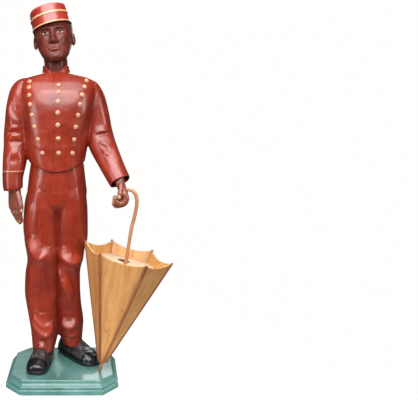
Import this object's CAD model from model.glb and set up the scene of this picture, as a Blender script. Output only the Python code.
# %% [markdown]
# # A painted bellboy with a wooden umbrella
# The object is a carved, gloss-painted hall figure as tall as a person. It stands on a moulded plinth and
# holds an open wooden umbrella, a funnel of six boards that keeps walking sticks. This notebook dresses the
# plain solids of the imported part: every surface is worked out with numpy as a grid of points and painted with
# nodes. Lengths in the tables are millimetres above the plinth, as a carver measures a figure from its soles.

# %% Imports and the frame
import math

import bpy
import numpy as np
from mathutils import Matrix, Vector
from mathutils.bvhtree import BVHTree


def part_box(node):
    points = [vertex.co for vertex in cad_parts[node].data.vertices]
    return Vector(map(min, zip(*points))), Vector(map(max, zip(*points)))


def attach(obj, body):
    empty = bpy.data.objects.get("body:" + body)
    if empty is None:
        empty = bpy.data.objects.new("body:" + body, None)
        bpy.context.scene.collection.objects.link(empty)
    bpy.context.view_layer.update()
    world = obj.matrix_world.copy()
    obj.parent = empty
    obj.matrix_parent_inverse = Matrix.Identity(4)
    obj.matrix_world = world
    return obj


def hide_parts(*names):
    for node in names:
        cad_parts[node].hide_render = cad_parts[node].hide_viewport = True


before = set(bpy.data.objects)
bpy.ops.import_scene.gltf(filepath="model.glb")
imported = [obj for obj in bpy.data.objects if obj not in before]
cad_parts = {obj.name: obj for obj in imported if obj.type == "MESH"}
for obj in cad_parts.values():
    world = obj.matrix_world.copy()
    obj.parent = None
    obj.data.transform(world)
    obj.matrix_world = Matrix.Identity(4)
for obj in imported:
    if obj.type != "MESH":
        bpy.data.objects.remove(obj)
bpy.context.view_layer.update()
SCENE = bpy.context.scene
MM = 0.001
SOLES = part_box("figure")[0].z
print("nodes:", sorted(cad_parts))

# %% [markdown]
# ## Camera first
# The photograph looks at the figure from a little above its waist, tilted down by eight degrees. The figure
# stands left of the lens axis, so a sideways shift frames it, the way a view camera would.


# %% The camera
def linked(name, data):
    """A new object in the scene."""
    made = bpy.data.objects.new(name, data)
    SCENE.collection.objects.link(made)
    return made


PHOTO_WIDTH = 418
FOCAL_PIXELS = 500.0
AXIS_COLUMN = 83.0
lens = bpy.data.cameras.new("photo_camera")
lens.sensor_fit = "HORIZONTAL"
lens.sensor_width = 36.0
lens.lens = lens.sensor_width * FOCAL_PIXELS / PHOTO_WIDTH
lens.shift_x = (PHOTO_WIDTH / 2 - AXIS_COLUMN) / PHOTO_WIDTH
camera = linked("photo_camera", lens)
camera.location = (0.09215, -2.17888, 1.12123)
camera.rotation_euler = (math.radians(82.0), 0.0, 0.0)
SCENE.camera = camera
print("lens, mm:", round(lens.lens, 1))

# %% [markdown]
# ## Grids that become surfaces
# A stack of closed rings is the simplest way to describe a limb or a garment: each ring is one section. Four
# neighbouring points make a face, and a fan closes each end. If the faces turn out to point inwards, which
# the signed volume tells, they are all turned round at once.


# %% Small sums
def hump(values, middle, width):
    """exp(-((value - middle) / width)^2): 1 at the middle, fading on both sides."""
    return np.exp(-(((values - middle) / width) ** 2))


def ramp(values, start, span):
    """0 at the start and 1 a span further on, flat outside. A negative span runs the other way."""
    return np.clip((values - start) / span, 0, 1)


def around(count):
    """So many even angles round a circle."""
    return 2 * np.pi * np.arange(count) / count


def unit(vectors):
    """Vectors divided by their lengths."""
    return vectors / np.linalg.norm(vectors, axis=-1, keepdims=True)


def travel(path):
    """How far along a path each of its points lies."""
    return np.concatenate(((0,), np.cumsum(np.linalg.norm(np.diff(path, axis=0), axis=1))))


# %% From a stack of rings to a mesh
def ring_shell(rings):
    """Points and faces of a closed skin over the rings.

    The quads are (i, j), (i, j+1), (i+1, j+1), (i+1, j), with j+1 taken round the ring. Each end is a fan to
    the mean of its ring."""
    rings = np.asarray(rings, float)
    count, sides = rings.shape[:2]
    points = np.vstack((rings.reshape(-1, 3), rings[0].mean(0), rings[-1].mean(0)))
    i, j = np.meshgrid(np.arange(count - 1) * sides, np.arange(sides), indexing="ij")
    k = (j + 1) % sides
    quads = np.stack((i + j, i + k, i + sides + k, i + sides + j), -1).reshape(-1, 4)
    j, k, top = np.arange(sides), (np.arange(sides) + 1) % sides, (count - 1) * sides
    low_fan = np.stack((np.full(sides, count * sides), k, j), 1)
    high_fan = np.stack((np.full(sides, count * sides + 1), top + j, top + k), 1)
    volume = 0
    for corners in (quads[:, :3], quads[:, (0, 2, 3)], low_fan, high_fan):
        a, b, c = (points[corners[:, n]] for n in range(3))
        volume += np.einsum("ij,ij->i", a, np.cross(b, c)).sum()
    faces = quads.tolist() + low_fan.tolist() + high_fan.tolist()
    return points, [face[::-1] for face in faces] if volume < 0 else faces


def shell_mesh(name, *shells):
    """One mesh that holds the closed skins."""
    points, faces, start = [], [], 0
    for part_points, part_faces in shells:
        points.append(part_points)
        faces += [[n + start for n in face] for face in part_faces]
        start += len(part_points)
    mesh = bpy.data.meshes.new(name)
    mesh.from_pydata(np.vstack(points).tolist(), [], faces)
    mesh.update()
    return mesh


def on_plinth(points):
    """Millimetres above the soles, as metres in the world."""
    return np.asarray(points, float) * MM + (0, 0, SOLES)


def skin_over(rings):
    """A closed skin over rings that are given in millimetres above the soles."""
    return ring_shell(on_plinth(rings))


def put(name, mesh, material, smooth_under=60, stands_for=("figure",)):
    """A finished piece: smooth shaded, painted, riding on the one body, in place of its CAD nodes."""
    mesh.shade_smooth()
    mesh.set_sharp_from_angle(angle=math.radians(smooth_under))
    mesh.materials.clear()
    mesh.materials.append(material)
    piece = linked(name, mesh)
    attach(piece, "root")
    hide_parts(*stands_for)
    print(f"{name}: {len(mesh.vertices)} points")


# %% Smooth tables
def smooth_rows(rows, steps):
    """Rows on a Catmull-Rom curve: half of 2b + (c-a)t + (2a-5b+4c-d)t2 + (3b-a-3c+d)t3 from b to c."""
    rows = np.array(rows, float)
    padded = np.vstack((2 * rows[0] - rows[1], rows, 2 * rows[-1] - rows[-2]))
    a, b, c, d = (padded[n : n + len(rows) - 1, None, :] for n in range(4))
    t = (np.arange(steps) / steps)[None, :, None]
    curve = 0.5 * (2 * b + (c - a) * t + (2 * a - 5 * b + 4 * c - d) * t**2 + (3 * b - a - 3 * c + d) * t**3)
    return np.vstack((curve.reshape(-1, rows.shape[1]), rows[-1]))


def even_rows(rows, count, measured):
    """Count rows on that curve, evenly spaced along the way that the first measured columns travel."""
    fine = smooth_rows(rows, 24)
    run = travel(fine[:, :measured])
    return np.stack([np.interp(np.linspace(0, run[-1], count), run, column) for column in fine.T], 1)


def oval(sides, power, crowd=0.0):
    """Shares across and along of a superellipse: sign(cos) |cos|^(2/power) and the same of sin.

    Crowd brings more of the points to the front, where along is -1."""
    angle = around(sides) - np.pi / 2 - crowd * np.sin(around(sides))
    return (np.sign(share) * np.abs(share) ** (2 / power) for share in (np.cos(angle), np.sin(angle)))


def upright_rings(rows, sides, count=0, crowd=0.0):
    """Level sections from rows of height, x, y, half width, front and back depth and superellipse power.

    A count asks for that many rows at even heights."""
    rings = []
    for z, x, y, width, front, back, power in even_rows(rows, count, 1) if count else rows:
        across, along = oval(sides, power, crowd)
        depth = np.where(along < 0, front, back)
        rings.append(np.stack((x + width * across, y + depth * along, np.full(sides, z)), 1))
    return np.array(rings)


def limb_rings(rows, count, sides, front=(0.0, -1.0, 0.0), power=2.2):
    """Count sections square to a path, from rows of x, y, z, half width and half depth turned to front."""
    rows = even_rows(rows, count, 3)
    path = rows[:, :3]
    along = unit(np.gradient(path, axis=0))
    ahead = unit(np.array(front) - along * (along @ np.array(front))[:, None])
    side = np.cross(ahead, along)
    across, depth = oval(sides, power)
    wide = across[None, :, None] * (rows[:, 3, None, None] * side[:, None, :])
    deep = depth[None, :, None] * (rows[:, 4, None, None] * -ahead[:, None, :])
    return path[:, None, :] + wide + deep


def domed(rings, start=0.0, end=0.0, steps=6):
    """Rings with a dome at either end: its sections shrink as cos a and move on by height times sin a."""
    stack = list(rings)
    angles = np.linspace(0, np.pi / 2, steps + 2)[1:-1]
    for height, at, inner in ((start, 0, 1), (end, -1, -2)):
        if height:
            middle = rings[at].mean(0)
            way = height * unit(middle - rings[inner].mean(0))
            dome = [middle + (rings[at] - middle) * math.cos(a) + way * math.sin(a) for a in angles]
            stack = dome[::-1] + stack if at == 0 else stack + dome
    return np.array(stack)


def with_mouth(rings, wall, depth):
    """Rings of a sleeve whose first ring is a lip, with a hollow behind it."""
    middle = rings[0].mean(0)
    inward = depth * unit(rings[1].mean(0) - middle)
    reach = np.linalg.norm(rings[0] - middle, axis=1, keepdims=True)
    lip = middle + (rings[0] - middle) * (1 - wall / reach)
    return np.array([lip + inward, lip + inward * 0.5, lip, *rings])


# %% [markdown]
# ## Carved cloth
# A carver roughs out the body first and then cuts the folds. The same order works here: closed forms are
# melted into one skin by a voxel remesh, and the folds are pushed into that skin. A fold is a path seen from
# one side. Its height is a bell curve of the distance to the path, which fades at both ends of the path.


# %% Melting forms and cutting folds
def applied(rough, name):
    """The mesh of an object with its modifiers applied. The object itself goes."""
    bpy.context.view_layer.update()
    mesh = bpy.data.meshes.new_from_object(rough.evaluated_get(bpy.context.evaluated_depsgraph_get()))
    mesh.name = name
    bpy.data.objects.remove(rough, do_unlink=True)
    return mesh


def melted(name, shells, voxel, rounds):
    """Several overlapping closed skins as one, rounded by so many smoothing passes."""
    rough = linked(name + "_rough", shell_mesh(name + "_rough", *shells))
    remesh = rough.modifiers.new("melt", "REMESH")
    remesh.mode = "VOXEL"
    remesh.voxel_size = voxel
    smooth = rough.modifiers.new("round", "SMOOTH")
    smooth.factor = 0.5
    smooth.iterations = rounds
    return applied(rough, name)


def mesh_points(mesh):
    """The mesh's points and normals as arrays."""
    points, normals = np.empty(len(mesh.vertices) * 3), np.empty(len(mesh.vertices) * 3)
    mesh.vertices.foreach_get("co", points)
    mesh.vertex_normals.foreach_get("vector", normals)
    return points.reshape(-1, 3), normals.reshape(-1, 3)


def local_points(mesh):
    """The mesh's points in millimetres above the soles."""
    return (mesh_points(mesh)[0] - (0, 0, SOLES)) / MM


def swell(mesh, amount):
    """Every point moves out along its normal by its amount, in mm."""
    points, normals = mesh_points(mesh)
    mesh.vertices.foreach_set("co", (points + amount[:, None] * normals * MM).reshape(-1))
    mesh.update()


def keep_value(mesh, name, values):
    """A number or a vector per point, for the material to read."""
    values = np.array(values, float)
    kind, field = ("FLOAT", "value") if values.ndim == 1 else ("FLOAT_VECTOR", "vector")
    mesh.attributes.new(name, kind, "POINT").data.foreach_set(field, values.reshape(-1))


def along_path(points, path):
    """Distance to a path, share of the path at the nearest place, and whether a point lies left of travel."""
    path = np.array(path, float)
    run = travel(path)
    nearest, share, on_left = np.full(len(points), 1e9), np.zeros(len(points)), np.zeros(len(points), bool)
    for start, step, before, after in zip(path[:-1], np.diff(path, axis=0), run[:-1], run[1:], strict=True):
        offset = points - start
        t = np.clip(offset @ step / (step @ step), 0, 1)
        away = np.linalg.norm(offset - t[:, None] * step, axis=1)
        closer = away < nearest
        share = np.where(closer, (before + t * (after - before)) / run[-1], share)
        on_left = np.where(closer, step[0] * offset[:, 1] > step[1] * offset[:, 0], on_left)
        nearest = np.minimum(nearest, away)
    return nearest, share, on_left


def fold_push(points, normals, folds, facing):
    """How far each point is pushed out, in mm: the sum over folds of rise exp(-(distance/width)^sharp) taper.

    A fold has one width on the left of its path's travel and one on the right, as cloth that hangs over is
    round on one side and undercut on the other. The taper is sin(pi share)^0.9, so a fold dies away at its
    ends, and everything fades where the surface turns away from the side that it is seen from."""
    shown = np.clip(normals[:, 1] * facing, 0, 1) ** 0.5
    seen = points[:, [0, 2]]
    push = np.zeros(len(points))
    for left, right, rise, sharp, *path in folds:
        curve = smooth_rows(np.reshape(path, (-1, 2)), 5)
        margin = 3 * max(left, right)
        inside = (seen > curve.min(0) - margin) & (seen < curve.max(0) + margin)
        near = np.flatnonzero(inside.all(1) & (shown > 0))
        away, share, on_left = along_path(seen[near], curve)
        taper = np.sin(np.pi * np.clip(share, 0.0, 1.0)) ** 0.9
        push[near] += rise * np.exp(-((away / np.where(on_left, left, right)) ** sharp)) * taper
    return push * shown


def eased(mesh, values, rounds=4):
    """Values at the points, each moved half way to the mean of its neighbours, so many times over."""
    ends = np.empty(len(mesh.edges) * 2, int)
    mesh.edges.foreach_get("vertices", ends)
    a, b = ends.reshape(-1, 2).T
    count = np.maximum(np.bincount(ends, minlength=len(values)), 1)
    for _ in range(rounds):
        total = np.bincount(a, values[b], len(values)) + np.bincount(b, values[a], len(values))
        values = (values + total / count) / 2
    return values


def carve(mesh, front, back):
    """Pushes a melted skin by the folds of its front and back, and keeps the push for the paint."""
    local, normals = local_points(mesh), mesh_points(mesh)[1]
    push = eased(mesh, fold_push(local, normals, front, -1) + fold_push(local, normals, back, 1))
    swell(mesh, push)
    keep_value(mesh, "fold", push)
    print(f"{mesh.name}: folds from {push.min():.1f} to {push.max():.1f} mm")


# %% [markdown]
# ## Shader sums in plain Python
# A material is a graph, but most of it is arithmetic. This class wraps one socket, so that an expression such
# as base * (1 - mask) adds its own nodes. Any other node comes from one method, which takes the node's type,
# its settings and the values of its inputs.


# %% A socket that can be added and multiplied
def rgb(code):
    """A colour from a screen's hex code, as the linear numbers that a shader wants."""
    screen = np.array([int(code[k : k + 2], 16) / 255 for k in (0, 2, 4)])
    linear = np.where(screen <= 0.04045, screen / 12.92, ((screen + 0.055) / 1.055) ** 2.4)
    return (*linear.tolist(), 1.0)


class Wire:
    """One output socket in a material's node tree."""

    def __init__(self, tree, socket):
        self.tree, self.socket = tree, socket

    def node(self, kind, settings=None, output=0, **inputs):
        """A node of that kind. Inputs go by name, with spaces as underscores, or by place as n0, n1."""
        made = self.tree.nodes.new("ShaderNode" + kind)
        for key, value in (settings or {}).items():
            setattr(made, key, value)
        for key, value in inputs.items():
            place = int(key[1:]) if key[0] == "n" and key[1:].isdigit() else key.replace("_", " ")
            if isinstance(value, Wire):
                self.tree.links.new(value.socket, made.inputs[place])
            else:
                made.inputs[place].default_value = value
        return Wire(self.tree, made.outputs[output])

    def maths(self, operation, first, second=0.0):
        """A Math node on two numbers or sockets."""
        return self.node("Math", {"operation": operation}, n0=first, n1=second)

    def __add__(self, other):
        return self.maths("ADD", self, other)

    def __sub__(self, other):
        return self.maths("SUBTRACT", self, other)

    def __rsub__(self, other):
        return self.maths("SUBTRACT", other, self)

    def __mul__(self, other):
        return self.maths("MULTIPLY", self, other)

    __radd__ = __add__
    __rmul__ = __mul__

    def power(self, exponent):
        return self.maths("POWER", self, exponent)

    def at_least(self, other):
        """The larger of this and the other."""
        return self.maths("MAXIMUM", self, other)

    def away_from(self, value):
        """The distance of a number from a value."""
        return self.maths("ABSOLUTE", self - value)

    def between(self, low, high):
        """0 below low, 1 above high, smooth in between. It falls instead when high is the smaller."""
        ends = {"From_Min": min(low, high), "From_Max": max(low, high)}
        rising = self.node("MapRange", {"interpolation_type": "SMOOTHSTEP"}, Value=self, **ends)
        return rising if low < high else 1 - rising

    def blend(self, low, high):
        """The colour low where this is 0 and high where it is 1. Each is a socket or a hex code."""
        low, high = (rgb(colour) if isinstance(colour, str) else colour for colour in (low, high))
        return self.node("Mix", {"data_type": "RGBA"}, output=2, n0=self, n6=low, n7=high)

    def under(self, *layers):
        """This colour with others laid over it one by one, each as strongly as its mask."""
        body = self
        for mask, colour in layers:
            body = mask.blend(body, colour)
        return body

    def axes(self):
        """The three numbers of a vector."""
        outputs = self.node("SeparateXYZ", Vector=self).socket.node.outputs
        return (Wire(self.tree, outputs[k]) for k in range(3))

    def noise(self, scale, detail=4.0, roughness=0.55, distortion=0.0):
        """Cloudy noise of this vector, from 0 to 1."""
        shape = {"Detail": detail, "Roughness": roughness, "Distortion": distortion}
        return self.node("TexNoise", Vector=self, Scale=scale, **shape)

    def stretched(self, factors):
        """This vector with each axis multiplied by its factor."""
        return self.node("Mapping", {"vector_type": "POINT"}, Vector=self, Scale=factors)

    def kept(self, name, output=2):
        """What the mesh keeps at its points under that name: a number, or a vector from output 1."""
        return self.node("Attribute", {"attribute_name": name}, output=output)


def paint(name, **fixed):
    """A new material's Object coordinates as a Wire, and a function that sets the shader's inputs."""
    material = bpy.data.materials.new(name)
    material.use_nodes = True
    tree = material.node_tree
    shader = tree.nodes["Principled BSDF"]
    for key, value in fixed.items():
        shader.inputs[key.replace("_", " ")].default_value = value
    where = Wire(tree, tree.nodes.new("ShaderNodeTexCoord").outputs["Object"])

    def finish(bump=None, bump_depth=0.0, **inputs):
        if bump:
            inputs["Normal"] = where.node("Bump", Strength=1.0, Distance=bump_depth, Height=bump)
        for key, value in inputs.items():
            tree.links.new(value.socket, shader.inputs[key.replace("_", " ")])
        return material

    return where, finish


# %% [markdown]
# ## Paint on carved wood
# The uniform is gloss oil paint, brick red, brushed on thick. It gathers dark in the hollows of the folds and
# between the legs, and the crests are rubbed a little lighter. The push that carved the folds is kept at
# every point, so the paint knows which places are hollows. A clear coat gives the hard, wet reflection, and
# soft ripples, as a gouge leaves them, break it up.


# %% The red of the uniform
def uniform_paint():
    """Two reds in drifts, with brush strokes, crests, hollows, grooves and piping laid over them."""
    where, finish = paint("uniform_paint", Coat_Weight=0.9, Coat_Roughness=0.22, Specular_IOR_Level=0.45)
    fold, groove, piping = (where.kept(name) for name in ("fold", "groove", "piping"))
    brushed = where.stretched((60.0, 60.0, 9.0)).noise(1.0, 5.0, 0.6)
    hollow = (0 - fold).between(0.8, 6.0)
    body = where.noise(6.0, 3.0).between(0.3, 0.7).blend("781B05", "94290F").under(
        (brushed.between(0.48, 0.72) * 0.3, "A53A1E"), (fold.between(4.0, 12.0) * 0.35, "B8422A"),
        (hollow * 0.55, "6E1005"), (groove * 0.8, "5A1006"), (piping, "DDA98C"),
    )
    gloss = 0.38 + brushed * 0.10 + hollow * 0.1
    height = brushed * 0.5 + where.noise(17.0, 2.0) * 7.0 - groove * 1.5 + piping
    return finish(Base_Color=body, Roughness=gloss, bump=height, bump_depth=0.0009)


RED = uniform_paint()
print("red paint ready")

# %% [markdown]
# ## Trousers
# They hang straight from the hips and break over the shoes. Each leg is a stack of level sections. The two
# legs and the hips are melted into one skin, and the folds go in after that: a deep U under each knee, long
# soft drags down the shins, a break above each hem and a pressed crease down the front.

# %% The trousers' tables
HIPS = (
    (700, -21, 36, 70, 56, 60, 2), (735, -22, 36, 118, 84, 86, 2.2), (785, -23, 36, 132, 93, 94, 2.3),
    (830, -23, 35, 128, 95, 96, 2.3), (885, -22, 31, 121, 95, 94, 2.3), (925, -21, 28, 114, 94, 90, 2.3),
    (960, -21, 27, 100, 84, 80, 2.3),
)
RIGHT_LEG = (
    (52, -92, 36, 50, 64, 56, 2.3), (90, -88, 36, 56, 62, 56, 2.3), (150, -84, 36, 65, 60, 60, 2.3),
    (200, -88, 36, 68, 61, 62, 2.3), (275, -94, 38, 74, 63, 67, 2.3), (330, -95, 39, 79, 64, 70, 2.3),
    (420, -93, 39, 77, 66, 70, 2.3), (490, -87, 36, 72, 72, 66, 2.3), (580, -92, 35, 79, 79, 72, 2.3),
    (640, -94, 35, 82, 84, 78, 2.3), (740, -90, 35, 78, 88, 86, 2.3), (800, -84, 34, 68, 86, 86, 2.2),
    (850, -74, 34, 52, 70, 72, 2.1),
)
LEFT_LEG = (
    (66, 44, 78, 43, 60, 52, 2.3), (100, 37, 77, 52, 58, 54, 2.3), (130, 30, 74, 61, 58, 56, 2.3),
    (185, 33, 70, 61, 59, 60, 2.3), (270, 25, 64, 58, 60, 64, 2.3), (360, 23, 60, 55, 62, 66, 2.3),
    (432, 24, 55, 56, 65, 66, 2.3), (503, 31, 48, 62, 70, 64, 2.3), (567, 40, 42, 71, 77, 72, 2.3),
    (631, 42, 40, 72, 82, 78, 2.3), (736, 40, 37, 71, 87, 86, 2.3), (800, 34, 35, 66, 86, 86, 2.2),
    (850, 26, 35, 52, 70, 72, 2.1),
)
# Each fold: widths left and right of its travel, rise, sharpness, then the path's pairs of x and z.
TROUSER_FRONT = (
    (40, 26, 34, 1.25, -148, 600, -130, 558, -103, 508, -80, 516, -52, 548),
    (12, 19, 6.5, 1.7, -103, 512, -104, 449, -104, 340, -112, 262),
    (17, 17, -7, 2, -74, 508, -66, 430, -66, 330, -76, 262),
    (10, 12, 3, 1.8, -135, 500, -140, 420, -138, 320),
    (7, 6, -5, 1.8, -116, 272, -108, 256, -86, 250, -60, 262),
    (9, 6, 5, 1.8, -122, 262, -114, 252, -104, 252),
    (24, 14, 22, 1.3, -139, 232, -124, 191, -109, 168, -93, 149, -77, 139, -62, 152, -53, 176, -49, 212),
    (18, 10, 11, 1.3, -129, 252, -121, 228, -108, 203, -88, 184, -66, 187, -56, 200),
    (6, 6, -4, 1.8, -126, 214, -106, 186, -88, 168, -72, 166),
    (8, 8, -6, 1.8, -112, 124, -92, 117, -68, 128), (18, 9, 13, 1.7, -114, 98, -95, 85, -74, 92),
    (10, 16, 4.5, 1.7, -106, 850, -104, 790, -107, 710, -113, 632),
    (8, 12, 4, 1.7, -128, 762, -136, 715, -144, 650),
    (38, 28, 34, 1.25, -2, 552, 10, 508, 42, 484, 72, 494, 86, 528),
    (24, 20, 22, 1.3, -23, 469, 1, 408, 18, 358, 34, 318),
    (26, 20, 13, 1.6, -6, 405, 10, 365, 28, 325, 44, 292),
    (14, 14, -6, 2, 16, 462, 38, 408, 52, 350, 54, 300),
    (14, 8, 5, 1.6, 27, 478, 55, 432, 70, 368, 72, 290),
    (34, 18, 26, 1.3, -4, 206, 9, 180, 26, 168, 48, 177, 59, 210),
    (14, 14, -5, 2, 2, 240, 27, 254, 56, 262), (8, 8, -6, 1.8, 4, 158, 35, 147, 72, 162),
    (20, 10, 10, 1.6, 4, 134, 44, 122, 82, 137), (7, 7, -3, 1.8, 16, 104, 44, 98, 72, 106),
    (5, 9, 2.5, 1.5, 57, 912, 70, 800, 79, 690, 86, 590), (12, 12, 3, 1.8, -8, 700, -7, 640, -8, 580),
    (13, 13, -5, 1.8, -18, 742, -19, 700, -20, 640), (4, 4, -1.5, 1.8, -18, 940, -17, 870, -18, 800),
)
TROUSER_BACK = (
    (14, 14, 8, 1.6, -150, 540, -110, 520, -60, 536), (15, 15, -4, 2, -150, 500, -108, 482, -62, 498),
    (13, 13, 6, 1.6, -146, 460, -108, 446, -66, 462), (14, 14, 8, 1.6, -8, 540, 36, 522, 84, 540),
    (15, 15, -4, 2, -10, 500, 32, 484, 76, 500), (13, 13, 6, 1.6, -10, 462, 26, 450, 66, 462),
    (12, 12, 7, 1.6, -130, 190, -96, 172, -60, 190), (12, 12, 7, 1.6, 2, 200, 36, 184, 72, 200),
    (10, 10, 4, 1.4, -92, 440, -90, 320, -90, 210), (10, 10, 4, 1.4, 30, 440, 32, 320, 38, 210),
    (6, 6, -6, 1.8, -18, 935, -16, 870, -15, 780), (15, 15, -5, 2, -110, 770, -70, 742, -26, 752),
    (15, 15, -5, 2, -8, 752, 32, 742, 74, 768), (9, 9, 3, 1.4, -90, 700, -92, 600, -92, 550),
    (9, 9, 3, 1.4, 38, 700, 38, 600, 38, 550),
)
LEG_OPENING = (5, 12)
BODY_X = -22
SIDE_SEAM_Y = 40
GAP_X, GAP_WIDTH = -21, 22
CROTCH_Z = 735


# %% The trousers
def make_trousers():
    """Legs and hips in one skin. The groove is dark along the side seams and between the legs."""
    legs = [skin_over(with_mouth(upright_rings(rows, 96, 130), *LEG_OPENING)) for rows in (RIGHT_LEG, LEFT_LEG)]
    hips = skin_over(domed(upright_rings(HIPS, 120, 50), start=12))
    skin = melted("trousers", [hips, *legs], 0.0034, 7)
    carve(skin, TROUSER_FRONT, TROUSER_BACK)
    x, y, z = local_points(skin).T
    side_seam = hump(y, SIDE_SEAM_Y, 1.6) * (np.abs(x - BODY_X) > 100)
    between_legs = hump(x, GAP_X, GAP_WIDTH) * ramp(z, CROTCH_Z, -60)
    keep_value(skin, "groove", np.maximum(side_seam * 0.5, between_legs * 0.55))
    put("trousers", skin, RED)


make_trousers()

# %% [markdown]
# ## Jacket
# A short mess jacket: its rounded hem is deepest in the middle, and its sleeves are set in at the shoulder.
# The body and both sleeves are melted into one skin, so the shoulders run over into the sleeves as carved
# wood does. The armhole seams and the front edge are cut lines, which the paint reads from a value kept on
# the mesh.

# %% The jacket's tables
JACKET = (
    (924, -22, 26, 121, 101, 98, 2.3), (950, -24, 25, 129, 103, 98, 2.35),
    (1010, -23, 22, 138, 110, 101, 2.4), (1090, -19, 19, 149, 118, 107, 2.5),
    (1160, -14, 18, 158, 122, 111, 2.6), (1215, -13, 20, 163, 115, 112, 2.6),
    (1250, -13, 24, 162, 99, 106, 2.5), (1272, -13, 27, 154, 82, 94, 2.4),
    (1286, -14, 28, 133, 69, 82, 2.3), (1296, -17, 28, 98, 60, 72, 2.1), (1304, -20, 28, 64, 54, 64, 2),
)
HEM_DROP_FRONT = 40
HEM_DROP_BACK = 14
RIGHT_SLEEVE = (
    (-215, 9, 803, 41, 51), (-216, 9, 815, 43, 53), (-216, 11, 860, 45, 54), (-207, 17, 930, 52, 55),
    (-202, 26, 990, 53, 56), (-200, 31, 1040, 54, 58), (-196, 32, 1090, 53, 60), (-188, 30, 1150, 53, 63),
    (-176, 28, 1200, 54, 63), (-165, 27, 1228, 51, 60), (-150, 27, 1247, 42, 53), (-126, 27, 1256, 29, 42),
)
LEFT_SLEEVE = (
    (249, -80, 845, 46, 47), (226, -55, 890, 49, 50), (200, -22, 945, 54, 53), (176, 10, 1000, 59, 56),
    (164, 29, 1050, 58, 59), (160, 33, 1110, 50, 62), (147, 31, 1165, 50, 63), (137, 29, 1208, 47, 61),
    (125, 27, 1238, 42, 54), (108, 27, 1258, 32, 42),
)
CUFF_LINE = 885
CUFF_OPENING = (6, 34)
JACKET_FRONT = (
    (8, 17, 6.5, 1.6, -226, 1186, -222, 1160, -215, 1122, -190, 1088),
    (10, 10, -4, 2, -208, 1192, -200, 1140, -181, 1104),
    (13, 6, 7, 1.6, -240, 1056, -226, 1062, -208, 1070, -178, 1070),
    (6, 6, -5, 1.8, -232, 1042, -210, 1050, -174, 1046),
    (10, 5, 6, 1.6, -238, 1026, -222, 1022, -206, 1036, -186, 1032),
    (6, 6, -6, 1.8, -220, 1008, -196, 1012, -166, 1010), (30, 14, 5, 1.8, -240, 968, -208, 962, -174, 970),
    (10, 10, -2, 1.8, -236, 936, -206, 930, -178, 938),
    (16, 5, 8, 1.6, 140, 1046, 160, 1053, 186, 1058, 216, 1064),
    (6, 8, -6, 1.8, 146, 1037, 164, 1043, 190, 1048, 218, 1052),
    (11, 5, 5, 1.6, 160, 1016, 172, 1008, 198, 991, 206, 978),
    (5, 5, -5, 1.8, 168, 1000, 190, 986, 200, 974), (10, 5, 5, 1.6, 172, 976, 184, 966, 206, 954),
    (5, 5, -4, 1.8, 178, 962, 194, 952, 206, 944),
    (6, 12, 4, 1.6, 210, 1040, 224, 1004, 238, 962, 252, 916),
    (10, 10, -3, 2, 150, 1020, 160, 985, 180, 940, 204, 892),
    (10, 10, -5, 2, -160, 1130, -156, 1070, -152, 1010), (10, 10, -5, 2, 121, 1120, 114, 1080, 108, 1036),
    (16, 16, 2, 1.8, -140, 1180, -132, 1110, -124, 1030), (16, 16, 2, 1.8, 112, 1180, 100, 1110, 90, 1040),
    (16, 12, 2, 1.8, -110, 1006, -70, 985, -40, 990), (12, 16, 2, 1.8, 60, 1006, 30, 988, 0, 990),
)
JACKET_BACK = (
    (10, 10, -4, 1.8, -14, 1270, -18, 1100, -20, 940), (14, 14, 4, 1.8, -120, 1240, -96, 1150, -90, 1060),
    (14, 14, 4, 1.8, 94, 1240, 68, 1150, 54, 1060), (12, 12, 4, 1.8, -150, 1010, -100, 980, -40, 986),
    (12, 12, 4, 1.8, 106, 1010, 60, 980, 0, 986), (10, 10, -6, 1.8, -250, 1060, -214, 1044, -176, 1056),
    (10, 10, 5, 1.6, -252, 1030, -214, 1014, -176, 1028),
    (10, 10, -6, 1.8, 150, 1070, 184, 1060, 220, 1080), (10, 10, 5, 1.6, 154, 1040, 190, 1030, 226, 1050),
)
# Cut lines, as paths of x and z.
FRONT_EDGE = ((-29, 1296), (-28, 1200), (-28, 1090), (-29, 960), (-30, 890))
ARMHOLES_FRONT = (
    ((-170, 1280), (-176, 1256), (-175, 1210), (-169, 1157), (-158, 1106)),
    ((150, 1266), (157, 1239), (144, 1198), (129, 1147), (116, 1095)),
)
SHOULDER_SEAMS = (
    ((-62, 1272), (-110, 1270), (-150, 1266), (-176, 1256)),
    ((24, 1280), (74, 1277), (117, 1269), (157, 1240)),
)


# %% The jacket
def cut_lines(local, lines, width):
    """1 on fine lines cut in the front: exp(-(distance/width)^2), for the paint and its bump."""
    out = np.zeros(len(local))
    front = local[:, 1] < 0
    for path in lines:
        away = along_path(local[front][:, [0, 2]], path)[0]
        out[front] = np.maximum(out[front], hump(away, 0, width))
    return out


def hem_drawn_down(rings):
    """The lowest rings move down by the hem's drop times 1 - (x/width)^2, fading to nothing above them."""
    hem_z, hem_x, hem_y, hem_width = JACKET[0][:4]
    x, y, z = np.moveaxis(rings, -1, 0)
    near_middle = np.clip(1 - ((x - hem_x) / hem_width) ** 2, 0, 1)
    drop = np.where(y < hem_y, HEM_DROP_FRONT, HEM_DROP_BACK) * near_middle
    fade = ramp(z, JACKET[2][0], hem_z - JACKET[2][0])
    return rings - (drop * fade)[..., None] * (0, 0, 1)


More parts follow.
